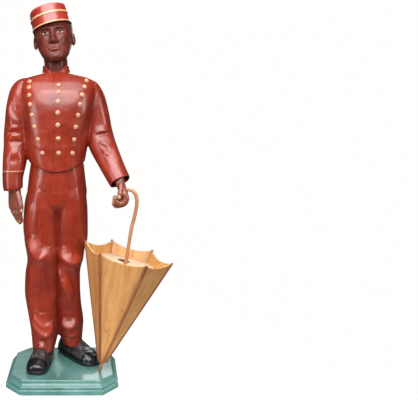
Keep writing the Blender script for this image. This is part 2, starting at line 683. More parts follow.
def make_jacket():
    """Body and sleeves in one skin, its folds, and its cuts: the deepest of the lines at each point."""
    shells = [skin_over(hem_drawn_down(upright_rings(JACKET, 150, 90)))]
    for rows, shoulder in ((RIGHT_SLEEVE, 8), (LEFT_SLEEVE, 12)):
        shells.append(skin_over(domed(with_mouth(limb_rings(rows, 90, 80), *CUFF_OPENING), end=shoulder)))
    skin = melted("jacket", shells, 0.0031, 6)
    carve(skin, JACKET_FRONT, JACKET_BACK)
    local = local_points(skin)
    lines = ((0.9, [FRONT_EDGE], 1.6), (0.7, ARMHOLES_FRONT, 2.0), (0.4, SHOULDER_SEAMS, 1.8))
    cuts = [depth * cut_lines(local, paths, width) for depth, paths, width in lines]
    keep_value(skin, "groove", np.max(cuts, axis=0))
    keep_value(skin, "piping", hump(local[:, 2], CUFF_LINE, 1.6) * (local[:, 0] < -150))
    put("jacket", skin, RED)
    return skin


jacket = make_jacket()

# %% [markdown]
# ## Stand collar
# It rises from the shoulders and opens in a small V under the chin. It is thin cloth, so its rim is a rounded
# lip with an inner face, and the neck comes out of the hollow.

# %% The collar
COLLAR = (
    (1262, -19, 28, 76, 66, 80, 2), (1284, -20, 28, 70, 62, 75, 2), (1300, -21, 27, 63, 57, 69, 2),
    (1318, -22, 25, 59, 55, 66, 2), (1331, -23, 23, 56.5, 53.5, 64.5, 2),
)
# Steps of the lip from the rim on: how far up, how far in.
COLLAR_RIM = ((0, 0), (1.6, 1.2), (2.2, 3), (1.6, 4.6), (0, 5.4), (-3, 5.6), (-12, 6), (-34, 6.5))
COLLAR_MIDDLE = (-22, 25, 0)
NOTCH_X, NOTCH_WIDTH, NOTCH_DEPTH = -24, 49, 44
NOTCH_FOOT, NOTCH_SPAN = 1284, 47
CORD_Z = 1328.5
SEAM_LOW_Z, SEAM_HIGH_Z = 1291, 1324


def notched(rings):
    """The rim drops in front by depth times (1 - |x|/width)^1.25, less and less towards the foot."""
    x, y, z = np.moveaxis(rings, -1, 0)
    notch = np.clip(1 - np.abs(x - NOTCH_X) / NOTCH_WIDTH, 0, 1) ** 1.25 * ramp(y, 26, -20)
    return rings - (NOTCH_DEPTH * notch * ramp(z, NOTCH_FOOT, NOTCH_SPAN))[..., None] * (0, 0, 1)


def make_collar():
    """The outer wall, swollen by 1.3 mm into a cord near its rim, then the lip's steps inwards."""
    outer = upright_rings(COLLAR, 160, 30)
    rim = outer[-1]
    away = unit((rim - COLLAR_MIDDLE) * (1, 1, 0))
    inner = [rim - away * inward + (0, 0, up) for up, inward in COLLAR_RIM[1:]]
    cord = 1.3 * hump(outer[:, :1, 2:], CORD_Z, 2.0)
    rings = np.array([*(outer + (outer - COLLAR_MIDDLE) * (1, 1, 0) / 60 * cord), *inner])
    mesh = shell_mesh("collar", skin_over(notched(rings)))
    heights = ring_shell(rings)[0][:, 2]
    keep_value(mesh, "groove", hump(heights, SEAM_LOW_Z, 1.8) + 0.7 * hump(heights, SEAM_HIGH_Z, 1.4))
    put("collar", mesh, RED)


make_collar()

# %% [markdown]
# ## Buttons
# Three columns of domed buttons run down the front, the outer two closing in towards the waist. A ray from
# the front finds the cloth at each place, and the button is turned to lie on it. They are picked out in a
# thick cream-gold enamel, and the paints of the hat and the nails mix a gold of their own in the same tone.

# %% The buttons
# Each column: its top, middle and bottom as x and z, and how many buttons it has.
BUTTON_COLUMNS = (
    ((-131, 1262), (-121, 1130), (-79, 966), 8), ((-8, 1246), (-11, 1118), (-10, 966), 7),
    ((107, 1266), (73, 1130), (48, 965), 8),
)
BUTTON_SPACING_POWER = 1.15
BUTTON_RADIUS = 10.0
BUTTON_TOP = 6.8
# Rise over the cloth, share of the radius.
BUTTON_PROFILE = (
    (-5, 0.8), (-1, 0.98), (0.6, 1), (2.2, 0.98), (3.2, 0.9), (3.4, 0.78), (4.6, 0.62), (6, 0.36),
)


def gold_paint():
    """Cream gold in two tones, dabbed on."""
    where, finish = paint("gold_paint", Coat_Weight=0.5, Coat_Roughness=0.1)
    dabs = where.noise(90.0, 3.0)
    colour = dabs.between(0.3, 0.7).blend("B87850", "D6A07C")
    return finish(Base_Color=colour, Roughness=0.25 + dabs * 0.15, bump=dabs, bump_depth=0.0006)


def button_shell(point, normal):
    """A lathe form on the cloth: radius times share at each rise, with a rolled rim and a dome inside it."""
    side = np.array(Vector(normal).orthogonal().normalized())
    turn = around(28)[:, None]
    arms = np.cos(turn) * side + np.sin(turn) * np.cross(normal, side)
    rings = [point + (rise * normal + share * BUTTON_RADIUS * arms) * MM for rise, share in BUTTON_PROFILE]
    points, faces = ring_shell(rings)
    points[-1] = point + BUTTON_TOP * MM * normal
    return points, faces


def make_buttons():
    """Places on a curve (1-t)^2 top + 2t(1-t) bend + t^2 bottom, closer together towards the top."""
    tree = BVHTree.FromPolygons([v.co for v in jacket.vertices], [p.vertices[:] for p in jacket.polygons])
    shells = []
    for *ends, count in BUTTON_COLUMNS:
        top, middle, bottom = np.array(ends, float)
        bend = 2 * middle - (top + bottom) / 2
        for t in np.linspace(0, 1, count) ** BUTTON_SPACING_POWER:
            x, z = (1 - t) ** 2 * top + 2 * t * (1 - t) * bend + t * t * bottom
            point, normal, _, _ = tree.ray_cast(Vector(on_plinth((x, -400, z))), Vector((0, 1, 0)))
            shells.append(button_shell(np.array(point), np.array(normal)))
    print("buttons:", len(shells))
    put("buttons", shell_mesh("buttons", *shells), gold_paint(), 50)


make_buttons()

# %% [markdown]
# ## Head
# The head is a stack of level sections from the chin to the crown, turned and tilted as a whole. Its face is
# a calm one of the usual proportions: eyes half way up, the nose's base half way from brow to chin, the mouth
# a third of the way from the nose to the chin, and one eye's width between the eyes. Every form is a soft
# rise in front.

# %% Head, tables
HEAD_POSE = (math.radians(6.5), math.radians(-5.0), (-19, 2, 1340))
HEAD = (
    (0, 0, -48, 22, 24, 26, 2), (7, 0, -42, 38, 39, 38, 2.1), (26, 0, -27, 54, 57, 62, 2.2),
    (50, 0, -12, 65, 71, 78, 2.2), (75, 0, 0, 73, 81, 86, 2.2), (100, 0, 4, 78, 86, 92, 2.2),
    (125, 0, 8, 80, 91, 94, 2.2), (150, 0, 9, 80, 92, 98, 2.2), (175, 0, 9, 76, 86, 95, 2.2),
    (200, 0, 8, 60, 68, 80, 2.1), (216, 0, 7, 38, 44, 52, 2),
)
# Rows: distance from the middle line, height, half width, half height, rise.
SOFT_FORMS = (
    (0, 128, 12, 10, 2.5), (28, 129, 21, 7.5, 5.5), (30, 110, 19, 12, -10), (43, 88, 19, 15, 4),
    (0, 50, 24, 17, 3.5), (0, 13, 18, 12, 5), (0, 30, 16, 6, -2.8), (12.5, 72, 6.5, 6.5, 7),
    (0, 58, 3.5, 6, -1.4), (27, 46, 5, 5, -1.5),
)
# Rows: height, rise of the nose's ridge, its half width.
NOSE_LINE = (
    (58, 0, 13), (63, 2, 13), (67, 10, 13), (71, 18, 12.5), (76, 22, 12), (83, 20.5, 11), (92, 16.5, 10),
    (104, 11.5, 9.5), (114, 7.5, 10), (124, 4, 12), (134, 0, 14),
)
EYE_X, EYE_Z, EYE_HALF = 31.0, 110.0, 15.5
MOUTH_HALF, PARTING_Z = 25, 45.0
HAIRLINE_ANGLE = (0, 38, 55, 66, 78, 96, 112, 135, 180)
HAIRLINE_Z = (172, 166, 148, 92, 92, 108, 60, 34, 28)
HEAD_MIDDLE = (0, 8, 0)


# %% Head, shapes
def tilted(points, roll, pitch, place):
    """Points turned by pitch about X, then by roll about Y, moved to place and set on the plinth."""
    c, s = math.cos(pitch), math.sin(pitch)
    lean_back = np.array(((1, 0, 0), (0, c, -s), (0, s, c)))
    c, s = math.cos(-roll), math.sin(-roll)
    lean_over = np.array(((c, 0, s), (0, 1, 0), (-s, 0, c)))
    return on_plinth(points @ (lean_over @ lean_back).T + np.array(place, float))


def lid_lines(x):
    """How far along the eye a place is, and the heights of the upper and lower lid there."""
    t = (np.abs(x) - EYE_X) / EYE_HALF
    open_share = np.clip(1 - t * t, 0, 1)
    return t, EYE_Z + 4.9 * open_share**0.8 + 0.6 * t, EYE_Z - 3.8 * open_share + 0.6 * t


def mouth_lines(x):
    """Heights of the upper lip's edge, the line between the lips and the lower lip's edge."""
    t = np.clip(np.abs(x) / MOUTH_HALF, 0, 1)
    parting = PARTING_Z + 0.8 * np.cos(t * np.pi * 2.2) * (1 - t)
    return parting + (7.2 - 1.6 * hump(x, 0, 4)) * (1 - t**1.8), parting, parting - 9.0 * (1 - t**2.2)


def face_rise(x, z):
    """How far each place of the face stands forward, in mm: the sum of soft forms, nose, lids and lips."""
    rise = np.zeros(x.shape)
    for out, height, half_x, half_z, amount in (*SOFT_FORMS, (6.5, 64.5, 3.0, 2.4, -6.0)):
        for side in (-1, 1) if out else (1,):
            rise += amount * hump(x, side * out, half_x) * hump(z, height, half_z)
    heights, ridge, spread = np.array(NOSE_LINE, float).T
    rise += np.interp(z, heights, ridge) * hump(x, 0, np.interp(z, heights, spread))
    t, upper, lower = lid_lines(x)
    within = ramp(np.abs(t), 1.12, -0.2)
    rise += 5.5 * within * np.clip(1 - t * t, 0, 1) ** 0.5 * hump(z, EYE_Z, 8.5)
    for amount, middle, width in ((2.6, upper + 1.6, 1.7), (-1.6, upper + 6.0, 1.5), (1.7, lower - 1.6, 1.6)):
        rise += amount * within * hump(z, middle, width)
    upper, parting, lower = mouth_lines(x)
    lips = ((3.4, (upper + parting) / 2, 4.2), (4.4, (lower + parting) / 2, 5.0), (-4.2, parting, 1.5))
    for amount, middle, width in lips:
        rise += amount * np.clip(1 - (x / 27) ** 2, 0, 1) ** 0.7 * hump(z, middle, width)
    return rise


def head_shape():
    """Sections of the head, pushed forward by the face and out by the hair, and the hair's share."""
    rings = upright_rings(HEAD, 230, 190, crowd=0.62)
    x, y, z = np.moveaxis(rings, -1, 0).copy()
    turned = np.degrees(np.abs(np.arctan2(x, -(y - HEAD_MIDDLE[1]))))
    front = ramp(turned, 74, -30)
    out = face_rise(x, z) * front * front * (3 - 2 * front)
    hair = ramp(z, np.interp(turned, HAIRLINE_ANGLE, HAIRLINE_Z), 5)
    ripple = np.sin(x * 0.9 + z * 0.35) * np.sin(z * 0.8 - y * 0.5)
    away = unit((rings - HEAD_MIDDLE) * (1, 1, 0))
    rings = rings + away * (hair * (3.0 + 0.5 * ripple))[:, :, None]
    rings[:, :, 1] -= out
    return rings, hair


# %% [markdown]
# ## Skin, eyes and hair
# All three are painted on the one carved head. The mesh keeps each point's place in the head's own frame, so
# the paint can draw the whites, the irises, the brows and the lips as circles and curves that turn with it.


# %% The paint of the head
def skin_paint():
    """Skin in two browns; brows, lids and eyes are curves in the head's frame; hair goes over all."""
    where, finish = paint("skin_paint", Coat_Roughness=0.22, Specular_IOR_Level=0.38)
    x, y, z = where.kept("head_place", output=1).axes()
    hair = where.kept("hair").between(0.35, 0.65)
    rosy, nail = where.kept("rosy"), where.kept("nail")
    drifts = where.noise(22.0, 4.0)
    in_front = y.between(-20.0, -45.0)
    side = x.away_from(0.0)
    brow_run = (side - 30.0) * (1 / 18)
    brow = z.away_from(127.5 - brow_run * brow_run * 3.5).between(3.0, 1.2)
    brow = brow * brow_run.away_from(0.0).between(1.0, 0.75)
    t = (side - EYE_X) * (1 / EYE_HALF)
    open_share = (1 - t * t).at_least(0.0)
    top = open_share.power(0.8) * 4.9 + t * 0.6 + EYE_Z
    low = open_share * -3.8 + t * 0.6 + EYE_Z
    inside = (top - z).between(-0.1, 0.5) * (z - low).between(-0.1, 0.5)
    inside = inside * t.away_from(0.0).between(1.0, 0.96) * in_front
    across, up = side - EYE_X, z - (EYE_Z + 0.6)
    near = (across * across + up * up).power(0.5)
    eye = near.between(2.2, 2.8).blend("060404", near.between(5.4, 6.0).blend("2A140C", "9C8C7E"))
    rim = top.away_from(z).between(1.4, 0.5) * t.away_from(0.0).between(1.02, 0.98) * in_front
    curls = where.noise(240.0, 3.0)
    colour = drifts.between(0.3, 0.7).blend("582016", "702F22").under(
        (rosy * 0.6, "9C5A44"), (brow * in_front * 0.8, "1A0D0A"), (rim * 0.8, "1A0D0A"), (inside, eye),
        (nail, "D2A27C"), (hair, curls.between(0.35, 0.75).blend("080707", "1C1918")),
    )
    gloss = 0.34 + drifts * 0.12 + hair * 0.25 - inside * 0.2 - nail * 0.1 - rosy * 0.06
    height = hair * curls * 2.0 + where.noise(60.0, 3.0) * 0.35
    coat = rosy * 0.7 + 0.2
    return finish(Base_Color=colour, Roughness=gloss, Coat_Weight=coat, bump=height, bump_depth=0.0008)


SKIN = skin_paint()
FAR_FROM_FACE = (200.0, 0.0, 0.0)


def put_skin(name, mesh, place=FAR_FROM_FACE, hair=0.0, rosy=0.0):
    """A piece in the head's paint, with what that reads: places in the head's frame, hair and rosy shares."""
    keep_value(mesh, "head_place", np.broadcast_to(place, (len(mesh.vertices), 3)))
    keep_value(mesh, "hair", np.broadcast_to(hair, len(mesh.vertices)))
    keep_value(mesh, "rosy", np.broadcast_to(rosy, len(mesh.vertices)))
    put(name, mesh, SKIN, 80)


# %% Head and neck
NECK = (
    (1262, -22, 28, 52, 50, 60, 2), (1290, -22, 28, 50, 48, 58, 2), (1330, -22, 22, 50, 48, 57, 2),
    (1375, -26, 14, 50, 46, 58, 2), (1412, -30, 12, 46, 40, 54, 2),
)


def make_head():
    """The head's sections as one skin. Lips are where the height lies between the mouth's two edges."""
    rings, hair = head_shape()
    points, faces = ring_shell(rings)
    x, y, z = points.T
    upper, _, lower = mouth_lines(x)
    lips = ramp(z, upper, -1.2) * ramp(z, lower, 1.2) * (np.abs(x) < MOUTH_HALF) * (y < -40)
    mesh = shell_mesh("head", (tilted(points, *HEAD_POSE), faces))
    put_skin("head", mesh, points, np.append(hair.reshape(-1), (0.0, 1.0)), lips * 0.6)


def make_neck():
    """Sections of the neck, with two cords in front: a rise of 2 mm along lines from ears to throat."""
    rings = upright_rings(NECK, 100, 60)
    x, y, z = np.moveaxis(rings, -1, 0).copy()
    for side in (-1, 1):
        line = -24 + side * (10 + (z - 1290) * 0.42)
        rings[:, :, 1] -= 2.0 * hump(x, line, 11) * ramp(y, 0, -20)
    points, faces = ring_shell(rings)
    mesh = shell_mesh("neck", (on_plinth(points), faces))
    put_skin("neck", mesh, hair=ramp(points[:, 1], 30, 10) * ramp(points[:, 2], 1374, 8))


make_head()
make_neck()

# %% [markdown]
# ## Ears
# An ear is a flat shell with a rolled rim round a hollow. It is worked out as a squashed ball whose outer
# side is pushed in by a bell for the hollow and out by a ring for the rim.

# %% The ears
EAR_PLACE = (79, 14, 98)


def ear_shell(side):
    """A ball squashed to 6 by 16 by 29 mm, narrower at the lobe, with the rim and the hollow on its face."""
    v, u = np.meshgrid(np.linspace(-1, 1, 46)[1:-1], around(60), indexing="ij")
    round_it = np.cos(v * np.pi / 2) ** 0.7
    along, up = np.cos(u) * round_it, np.sin(u) * round_it
    y, z = along * 16 * (1 + 0.16 * up), up * 29
    rim = hump(round_it, 0.86, 0.11) * (up > -0.72)
    hollow = np.exp(-((along - 0.12) ** 2 + (up + 0.05) ** 2) / 0.24)
    fold = hump(round_it, 0.56, 0.1) * (up > 0.1) * (along < 0.5)
    out = np.clip(-v * 3, 0, 1) * (2.6 * rim - 6.5 * hollow + 1.8 * fold) - np.sin(v * np.pi / 2) * 6.0
    out = out + EAR_PLACE[0] + np.clip(along, 0, 1) * 7
    return ring_shell(np.stack((side * out, EAR_PLACE[1] + y + z * 0.2, EAR_PLACE[2] + z), -1))


def make_ears():
    """Both ears, tilted with the head."""
    shells = [ear_shell(side) for side in (-1, 1)]
    mesh = shell_mesh("ears", *((tilted(points, *HEAD_POSE), faces) for points, faces in shells))
    put_skin("ears", mesh, np.vstack([points for points, _ in shells]))


make_ears()

# %% [markdown]
# ## Hat
# A stiff round pillbox hat, worn tipped over one ear. One gold band goes round its lower edge and one round
# the middle. Both stand a little proud of the wall, so light catches them.

# %% The hat
HAT_POSE = (math.radians(14.0), math.radians(-4.0), (-36, 6, 1484.4))
# Rows: height, half width, front depth, back depth. The first four are the hollow underside.
HAT_PROFILE = (
    (18, 68, 82, 88), (12, 70, 84, 90), (4, 76, 90, 96), (0.5, 80.5, 94.5, 100.5), (-0.3, 83, 97, 103),
    (0.6, 84.6, 98.6, 104.6), (3, 85.2, 99.2, 105.2), (5, 84.6, 98.6, 104.6), (5.8, 82.8, 96.8, 102.8),
    (8, 82.4, 96.4, 102.3), (35, 82.2, 96.2, 101.7), (37.2, 82.4, 96.4, 101.9), (38, 83.8, 97.8, 103.3),
    (41, 84.4, 98.4, 103.9), (44, 83.6, 97.6, 103.1), (45, 82, 96, 101.5), (66, 81, 95, 100),
    (72, 79.6, 93.6, 98.6), (76, 77.2, 91.2, 96.2), (80, 70, 83, 88), (84, 54, 66, 70), (86, 30, 38, 40),
)
UNDERSIDE_ROWS, HAT_STEPS, HAT_SIDES = 4, 4, 160
HAT_TOP = 86.2
LOW_BAND, MIDDLE_BAND, TOP_EDGE = (6.2, 5.4), 41.0, 76.0


def hat_paint():
    """Two reds, pale along the top edge and dark beside the bands, with the gold bands over them."""
    where, finish = paint("hat_paint", Coat_Weight=0.9, Coat_Roughness=0.2, Specular_IOR_Level=0.5)
    height = where.kept("hat_height")
    drifts = where.noise(9.0, 3.0)
    low_band = height.between(*LOW_BAND) * where.kept("hat_wall")
    bands = low_band.at_least(height.away_from(MIDDLE_BAND).between(4.4, 3.6))
    under, over = (height.away_from(line).between(2.0, 0.4) for line in (7.2, 36.0))
    colour = drifts.between(0.3, 0.7).blend("94261A", "AC382C").under(
        (height.away_from(TOP_EDGE).between(5.0, 1.0) * 0.45, "D8A58C"), (under.at_least(over) * 0.6, "4A0E07"),
        (bands, where.noise(60.0, 3.0).between(0.25, 0.75).blend("CF9660", "E8BE8C")),
    )
    gloss = 0.26 + drifts * 0.1 + bands * 0.06
    return finish(Base_Color=colour, Roughness=gloss, bump=drifts, bump_depth=0.0005)


def make_hat():
    """A wall and a crown from the profile's smoothed rows. Every point keeps its height for the bands."""
    rows = [(z, 0, 0, *reach, 2.1) for z, *reach in smooth_rows(HAT_PROFILE, HAT_STEPS)]
    points, faces = ring_shell(upright_rings(rows, HAT_SIDES))
    points[-1, 2] = HAT_TOP
    mesh = shell_mesh("hat", (tilted(points, *HAT_POSE), faces))
    keep_value(mesh, "hat_height", points[:, 2])
    keep_value(mesh, "hat_wall", np.arange(len(points)) >= UNDERSIDE_ROWS * HAT_STEPS * HAT_SIDES)
    put("hat", mesh, hat_paint(), 50)


make_hat()

# %% [markdown]
# ## Hands
# The right hand hangs flat beside the thigh, its back turned out and forwards. The left one is a fist round
# the handle. Palm, fingers and thumb are limbs with a swelling at every joint, melted together at a fine
# grain. Then each nail is raised on the finger's end as a small round plate, which the paint picks out.

# %% The hands' tables
RIGHT_PALM = (
    (-211, 10, 852, 24, 30), (-210, 8, 826, 24, 30), (-209, 6, 800, 22, 30), (-208, 3, 780, 18, 35),
    (-207, 1, 750, 16, 40), (-205, -2, 722, 14, 41),
)
RIGHT_HAND_FRONT = (0.72, -0.69, 0.0)
RIGHT_HAND_BACK = (-0.69, -0.72, 0.0)
RIGHT_FINGERS = ((29, 66), (10, 74), (-10, 69), (-28, 54))
RIGHT_FINGER_PULL = 0.45
RIGHT_THUMB = (
    (-197, -12, 796, 13, 15), (-187, -24, 772, 13, 14), (-181, -31, 750, 11, 12),
    (-178, -33, 735, 11.5, 12), (-177, -33, 718, 9.5, 10), (-177, -33, 711, 8.5, 8.5),
)
LEFT_PALM = (
    (238, -68, 890, 24, 27), (243, -74, 868, 23, 26), (247, -82, 845, 21, 25), (256, -86, 820, 18, 34),
    (266, -88, 795, 16, 40), (268, -88, 778, 14, 40),
)
# Each finger of the fist: its y, how much it is lowered, how loosely it is closed.
LEFT_FINGERS = ((-118, 7, 0.0), (-98, -2, 0.75), (-78, 0, 0.5), (-60, 5, 0.2))
LEFT_FINGER = (
    (264, 0, 794, 12.5, 11), (273, 0, 774, 12.5, 11.5), (265, 0, 757, 12, 11.5), (250, 0, 750, 10.5, 10),
    (236, 0, 754, 11.5, 10.5), (230, 0, 766, 9.5, 9.5), (231, 0, 777, 8.5, 8.5),
)
LEFT_HOLLOW = (
    (264, -100, 800, 10, 14), (256, -98, 784, 13, 22), (250, -96, 768, 14, 22), (248, -96, 758, 9, 14),
)
LEFT_THUMB = (
    (250, -96, 842, 12, 14), (250, -110, 826, 11.5, 13), (248, -120, 812, 10.5, 11.5),
    (246, -126, 802, 11.5, 11.5), (244, -128, 790, 10, 9.5), (243, -128, 785, 9, 8.5),
)
# Along a straight finger: share of its length, radius.
JOINTS = (
    (0, 11.8), (0.12, 11.6), (0.3, 10.4), (0.44, 11.2), (0.58, 10), (0.72, 10.4), (0.86, 9.2), (1, 8),
)


# %% The hands
def nail_mask(local, nails):
    """Where the nails are. Each is a centre, its way along the finger, its outward side and its half width;
    the plate is where (along/1.2)^2 + across^2 is under the half width squared."""
    mask = np.zeros(len(local))
    for centre, along, out, half in nails:
        along = unit(np.array(along, float))
        out = unit(np.array(out, float) - along * (along @ np.array(out, float)))
        offset = local - np.array(centre)
        run, rise = offset @ along, offset @ out
        aside = np.linalg.norm(offset - run[:, None] * along - rise[:, None] * out, axis=1)
        plate = 1 - (run / (1.2 * half)) ** 2 - (aside / half) ** 2
        mask = np.maximum(mask, np.clip(plate * 3.5, 0, 1) * (rise > half * 0.3))
    return mask


def make_hand(name, palm, front, fingers, nails):
    """Limbs of a hand melted into one, with its nails."""
    shells = [skin_over(domed(limb_rings(palm, 40, 48, front, 2.6)[::-1], start=6))]
    for rows in fingers:
        shells.append(skin_over(domed(limb_rings(rows, 30, 28, front)[::-1], start=rows[-1][3])))
    mesh = melted(name, shells, 0.0015, 4)
    mask = nail_mask(local_points(mesh), nails)
    swell(mesh, mask * 0.7)
    keep_value(mesh, "nail", mask)
    put_skin(name, mesh, rosy=1.0)


def right_hand():
    """Straight fingers: base + length downwards, drawn together, and bowed by 4 sin(pi share) mm."""
    ahead, back = np.array(RIGHT_HAND_FRONT), np.array(RIGHT_HAND_BACK)
    fingers, nails = [], [((-174.5, -38, 716), (0, 0, -1), (0.3, -0.95, 0), 7.0)]
    for spread, length in RIGHT_FINGERS:
        base = np.array(RIGHT_PALM[-1][:3], float) + ahead * spread + (0, 0, 8)
        rows = []
        for share, radius in JOINTS:
            pull = ahead * spread * -RIGHT_FINGER_PULL * share
            bend = back * 4.0 * math.sin(math.pi * share)
            step = pull + np.array((14 * share, 3 * share, -length * share))
            rows.append((*(base + step + bend), radius, radius))
        fingers.append(rows)
        nails.append((np.array(rows[-1][:3]) + back * 5 + (0, 0, 1), (0, 0, -1), back, 5.0))
    make_hand("right_hand", RIGHT_PALM, RIGHT_HAND_FRONT, [*fingers, RIGHT_THUMB], nails)


def left_hand():
    """One curled finger, repeated at four places: its outer joints open by the finger's looseness."""
    fingers, nails = [], [((243, -129, 787), (0, -0.1, -1), (-0.35, -0.93, 0), 7.5)]
    for y, drop, loose in LEFT_FINGERS:
        rows = []
        for i, (x, _, z, width, depth) in enumerate(LEFT_FINGER):
            opened = loose * max(i - 3, 0) / 3
            rows.append((x - 13 * opened, y, z + drop - 22 * opened, width, depth))
        fingers.append(rows)
        nails.append((np.array(rows[-1][:3]) + (-4, -1, 0), (-0.2 * loose, 0, 1), (-1, -0.3, 0), 5.0))
    make_hand("left_hand", LEFT_PALM, (0.0, -1.0, 0.0), [*fingers, LEFT_HOLLOW, LEFT_THUMB], nails)


right_hand()
left_hand()

# %% [markdown]
# ## Shoes
# Plain black laced shoes. The upper is a loft of half-round sections from heel to toe. Two facings stand up
# along the instep with the tongue between them, a stitched line crosses in front of the toe, and a welt
# sticks out all round above the sole.

# %% Shoe tables
RIGHT_SHOE = ((-80, 119), math.radians(-9.0))
LEFT_SHOE = ((-15, 149), math.radians(43.0))
SHOE_LENGTH = 250
TOE_LINE = 0.80
SOLE_HALF_WIDTH = 55
SOLE_HEIGHT = 19
UPPER_LOW = SOLE_HEIGHT * 0.7
UPPER_POWER = 2.3
LACE_RADIUS = 2.6
# Rows: share of the length, half width, height.
SHOE_UPPER = (
    (0.04, 30, 58), (0.104, 39, 84), (0.256, 42, 108), (0.40, 42, 104), (0.544, 44, 82), (0.688, 49, 66),
    (0.824, 48, 55), (0.92, 38, 45),
)
# Height, share of the outline.
SOLE_PROFILE = (
    (0, 0.955), (1, 0.965), (10, 0.97), (12, 0.975), (12.6, 0.99), (14, 1), (17.5, 1), (19, 0.985),
)


# %% Black paint
def shoe_paint():
    """Black in two tones, greyer where it is scuffed."""
    where, finish = paint("shoe_paint", Coat_Weight=0.5, Coat_Roughness=0.12)
    patches = where.noise(14.0, 4.0)
    worn = where.kept("worn")
    scuffed = worn * where.noise(40.0, 4.0).between(0.3, 0.7) * 0.8
    body = scuffed.blend(patches.between(0.35, 0.7).blend("08080A", "17171B"), "57504D")
    gloss = 0.22 + patches * 0.10 + worn * 0.2
    return finish(Base_Color=body, Roughness=gloss, bump=where.noise(110.0, 4.0), bump_depth=0.0007)


BLACK = shoe_paint()


# %% Shoe shapes
def shoe_frame(shoe):
    """A function from distance along, distance across and height to millimetres above the soles."""
    (heel_x, heel_y), turn = shoe
    ways = np.array(((math.sin(turn), -math.cos(turn), 0), (math.cos(turn), math.sin(turn), 0), (0, 0, 1)))

    def place(*lengths):
        return np.array((heel_x, heel_y, 0.0)) + np.stack(np.broadcast_arrays(*lengths), -1) @ ways

    return place


def sole_shell(place):
    """A superellipse of power 0.6 across, 10 per cent broader at the toe than in the middle, and waisted."""
    angle = around(120) - np.pi / 2
    along = SHOE_LENGTH / 2 * np.sin(angle)
    across = np.sign(np.cos(angle)) * np.abs(np.cos(angle)) ** 0.6 * SOLE_HALF_WIDTH
    across = across * (1 + 0.10 * np.sin(angle)) * (1 - 0.10 * hump(np.sin(angle), -0.15, 0.4))
    rings = [place(SHOE_LENGTH / 2 + along * grow, across * grow, h)[::-1] for h, grow in SOLE_PROFILE]
    return skin_over(rings)


def instep(share, across):
    """Height gained over the plain upper, in mm: facings on both sides of the tongue, a stitched line."""
    run = ramp(share, 0.42, 0.05) * ramp(share, 0.70, -0.03)
    side = np.abs(across)
    toe = hump(share, TOE_LINE - 0.05 * side, 0.007)
    return 3.0 * run * ramp(side, 0.10, 0.06) * ramp(side, 0.62, -0.05) - 1.5 * run * (side < 0.1) - 1.8 * toe


def upper_shell(place, rows):
    """Half-round sections: low + reach times a superellipse's height, plus the instep's rise."""
    across, high = oval(90, UPPER_POWER)
    rings = []
    for along, width, height in rows:
        reach = np.where(high > 0, height - UPPER_LOW, SOLE_HEIGHT * 0.4)
        lift = instep(along / SHOE_LENGTH, across) * (high > 0.2)
        rings.append(place(along, across * width, UPPER_LOW + reach * high + lift))
    return skin_over(domed(np.array(rings), start=7, end=15, steps=8))


def tube(path, radius, sides=10):
    """A round cord along a path of points, its frame carried on from ring to ring."""
    ways = unit(np.gradient(path, axis=0))
    side = np.cross(ways[0], (0.3, 0.5, 0.81))
    turn = around(sides)[:, None]
    rings = []
    for point, way, reach in zip(path, ways, np.broadcast_to(radius, len(path)), strict=True):
        side = unit(side - way * (side @ way))
        rings.append(point + reach * (np.cos(turn) * np.cross(side, way) + np.sin(turn) * side))
    return np.array(rings)


def lace_shells(place, rows):
    """Four laces straight across the tongue, each a cord that dips into the facings at its ends."""
    shells = []
    t = np.linspace(-1, 1, 17)
    for share in (0.545, 0.59, 0.635, 0.675):
        run = (share + 0.006 * np.sin(4 * t)) * SHOE_LENGTH
        along, width, height = (np.interp(run, rows[:, 0], column) for column in rows.T)
        fall = (1 - np.abs(t * 0.3) ** UPPER_POWER) ** (1 / UPPER_POWER)
        path = place(along, t * 0.3 * width, UPPER_LOW + (height - UPPER_LOW) * fall + 4.4)
        path[(0, -1), 2] -= 3
        shells.append(skin_over(domed(tube(path, LACE_RADIUS), 1, 1, 2)))
    return shells


def make_shoe(name, shoe):
    """Sole, upper and laces. It is scuffed behind the toe line, more with height."""
    place = shoe_frame(shoe)
    rows = even_rows([(share * SHOE_LENGTH, width, height) for share, width, height in SHOE_UPPER], 110, 3)
    mesh = shell_mesh(name, sole_shell(place), upper_shell(place, rows), *lace_shells(place, rows))
    local = local_points(mesh)
    heel = place(0, 0, 0)
    share = (local - heel) @ (place(1, 0, 0) - heel) / SHOE_LENGTH
    worn = ramp(share, TOE_LINE - 0.02, -0.02) * np.clip((local[:, 2] - SOLE_HEIGHT - 4) / 12, 0.1, 1)
    keep_value(mesh, "worn", worn)
    put(name, mesh, BLACK, 40)


make_shoe("right_shoe", RIGHT_SHOE)
make_shoe("left_shoe", LEFT_SHOE)

# %% [markdown]
# ## Plinth
# An oblong block with cut corners. From the top down its moulding has a rounded lip, a cove, a step, a roll
# and a plain foot. One profile is swept round the eight-sided outline, whose corners are eased by curves.

# %% Plinth
PLINTH_WIDTH = 440
PLINTH_DEPTH = 320
PLINTH_HEIGHT = 58
PLINTH_CORNER = 55
PLINTH_SPREAD = 28
CORNER_EASE = 2.5
RUBBED_SHARES = (0.35, 0.5, 0.93)
# Rows: share of the spread, share of the height.
PLINTH_PROFILE = (
    (0.93, 0), (1, 0.02), (1, 0.10), (1, 0.30), (0.985, 0.355), (0.93, 0.395), (0.86, 0.405), (0.68, 0.41),
    (0.66, 0.425), (0.70, 0.46), (0.72, 0.50), (0.71, 0.545), (0.66, 0.585), (0.60, 0.60), (0.53, 0.605),
    (0.50, 0.62), (0.42, 0.645), (0.30, 0.69), (0.22, 0.74), (0.17, 0.80), (0.155, 0.835), (0.17, 0.85),
    (0.19, 0.88), (0.19, 0.93), (0.16, 0.97), (0.10, 0.99), (0, 1), (-0.3, 1),
)


